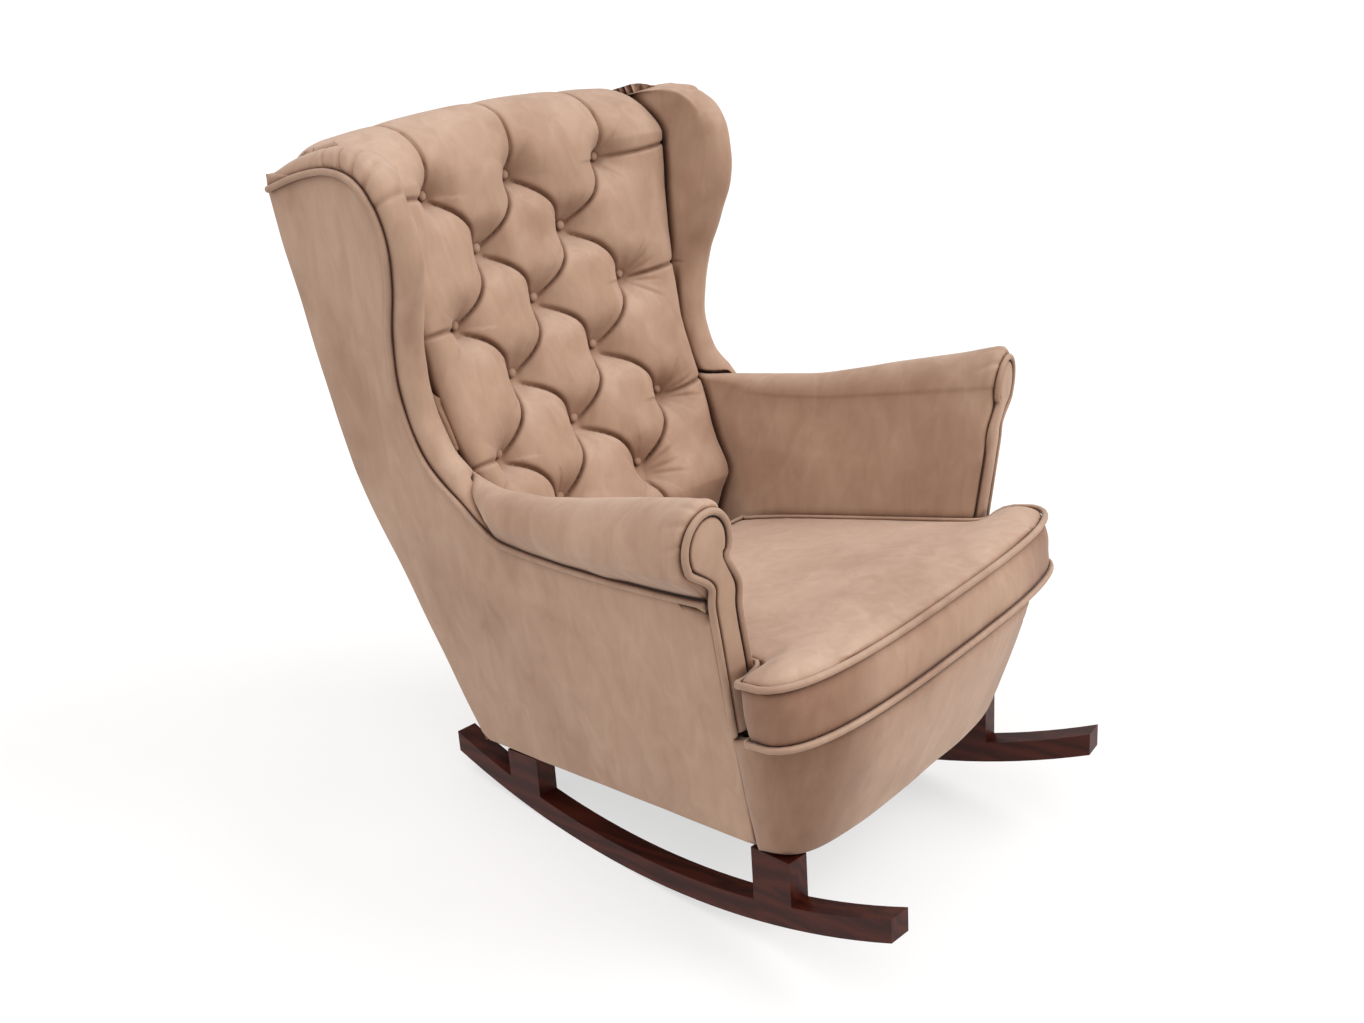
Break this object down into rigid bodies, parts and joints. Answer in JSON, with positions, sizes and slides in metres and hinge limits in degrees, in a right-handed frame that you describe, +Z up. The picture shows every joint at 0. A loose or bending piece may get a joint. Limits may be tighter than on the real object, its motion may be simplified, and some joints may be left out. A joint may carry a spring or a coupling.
{
  "type": "rocking wingback armchair",
  "caption": "Wingback armchair on bow rockers, with a deep-buttoned back, rolled arms and a loose boxed seat cushion.",
  "frame": {"origin": "on the floor, under the centre of the whole chair's box", "axes": "+Z up, the front of the chair faces -Y, +X is the sitter's left"},
  "size_m": [0.7816, 0.979, 0.9729],
  "materials": {
    "velvet": "soft short-pile velvet",
    "piping": "velvet-covered piping cord",
    "walnut": "stained dark and lacquered",
    "frame_timber": "raw sawn timber and plywood",
    "steel": "zinc-plated",
    "webbing": "woven jute",
    "wadding": "non-woven felt",
    "dust_cloth": "non-woven cloth",
    "zip": "woven tape with moulded teeth"
  },
  "bodies": {
    "chair": {"rocker_left": "walnut", "rocker_right": "walnut", "front_leg_left": "walnut", "front_leg_right": "walnut", "rear_leg_left": "walnut", "rear_leg_right": "walnut", "rocker_screws": "steel", "leg_bolts": "steel", "corner_blocks": "frame_timber", "side_rail_left": "frame_timber", "side_rail_right": "frame_timber", "front_rail": "frame_timber", "rear_rail": "frame_timber", "front_board": "frame_timber", "front_shelf": "frame_timber", "arm_post_left": "frame_timber", "arm_post_right": "frame_timber", "arm_rail_left": "frame_timber", "arm_rail_right": "frame_timber", "back_post_left": "frame_timber", "back_post_right": "frame_timber", "top_rail": "frame_timber", "lower_back_rail": "frame_timber", "wing_frame_left": "frame_timber", "wing_frame_right": "frame_timber", "seat_springs": "steel", "spring_clips": "steel", "back_webbing": "webbing", "seat_deck": "wadding", "dust_cover": "dust_cloth", "back_pad": "velvet", "back_buttons": "velvet", "wing_pad_left": "velvet", "wing_pad_right": "velvet", "arm_pad_left": "velvet", "arm_pad_right": "velvet", "arm_facing_left": "velvet", "arm_facing_right": "velvet", "side_panel_left": "velvet", "side_panel_right": "velvet", "outer_back_panel": "velvet", "front_apron": "velvet", "side_welt_left": "piping", "side_welt_right": "piping", "facing_welt_left": "piping", "facing_welt_right": "piping"},
    "cushion": {"seat_cushion": "velvet", "cushion_top_welt": "piping", "cushion_bottom_welt": "piping", "cushion_zip": "zip"}
  },
  "joints": [
    {"name": "cushion_lift", "type": "slide", "parent": "chair", "child": "cushion", "axis": [0, -0.8669, 0.4985], "range_m": [0, 0.6]}
  ]
}
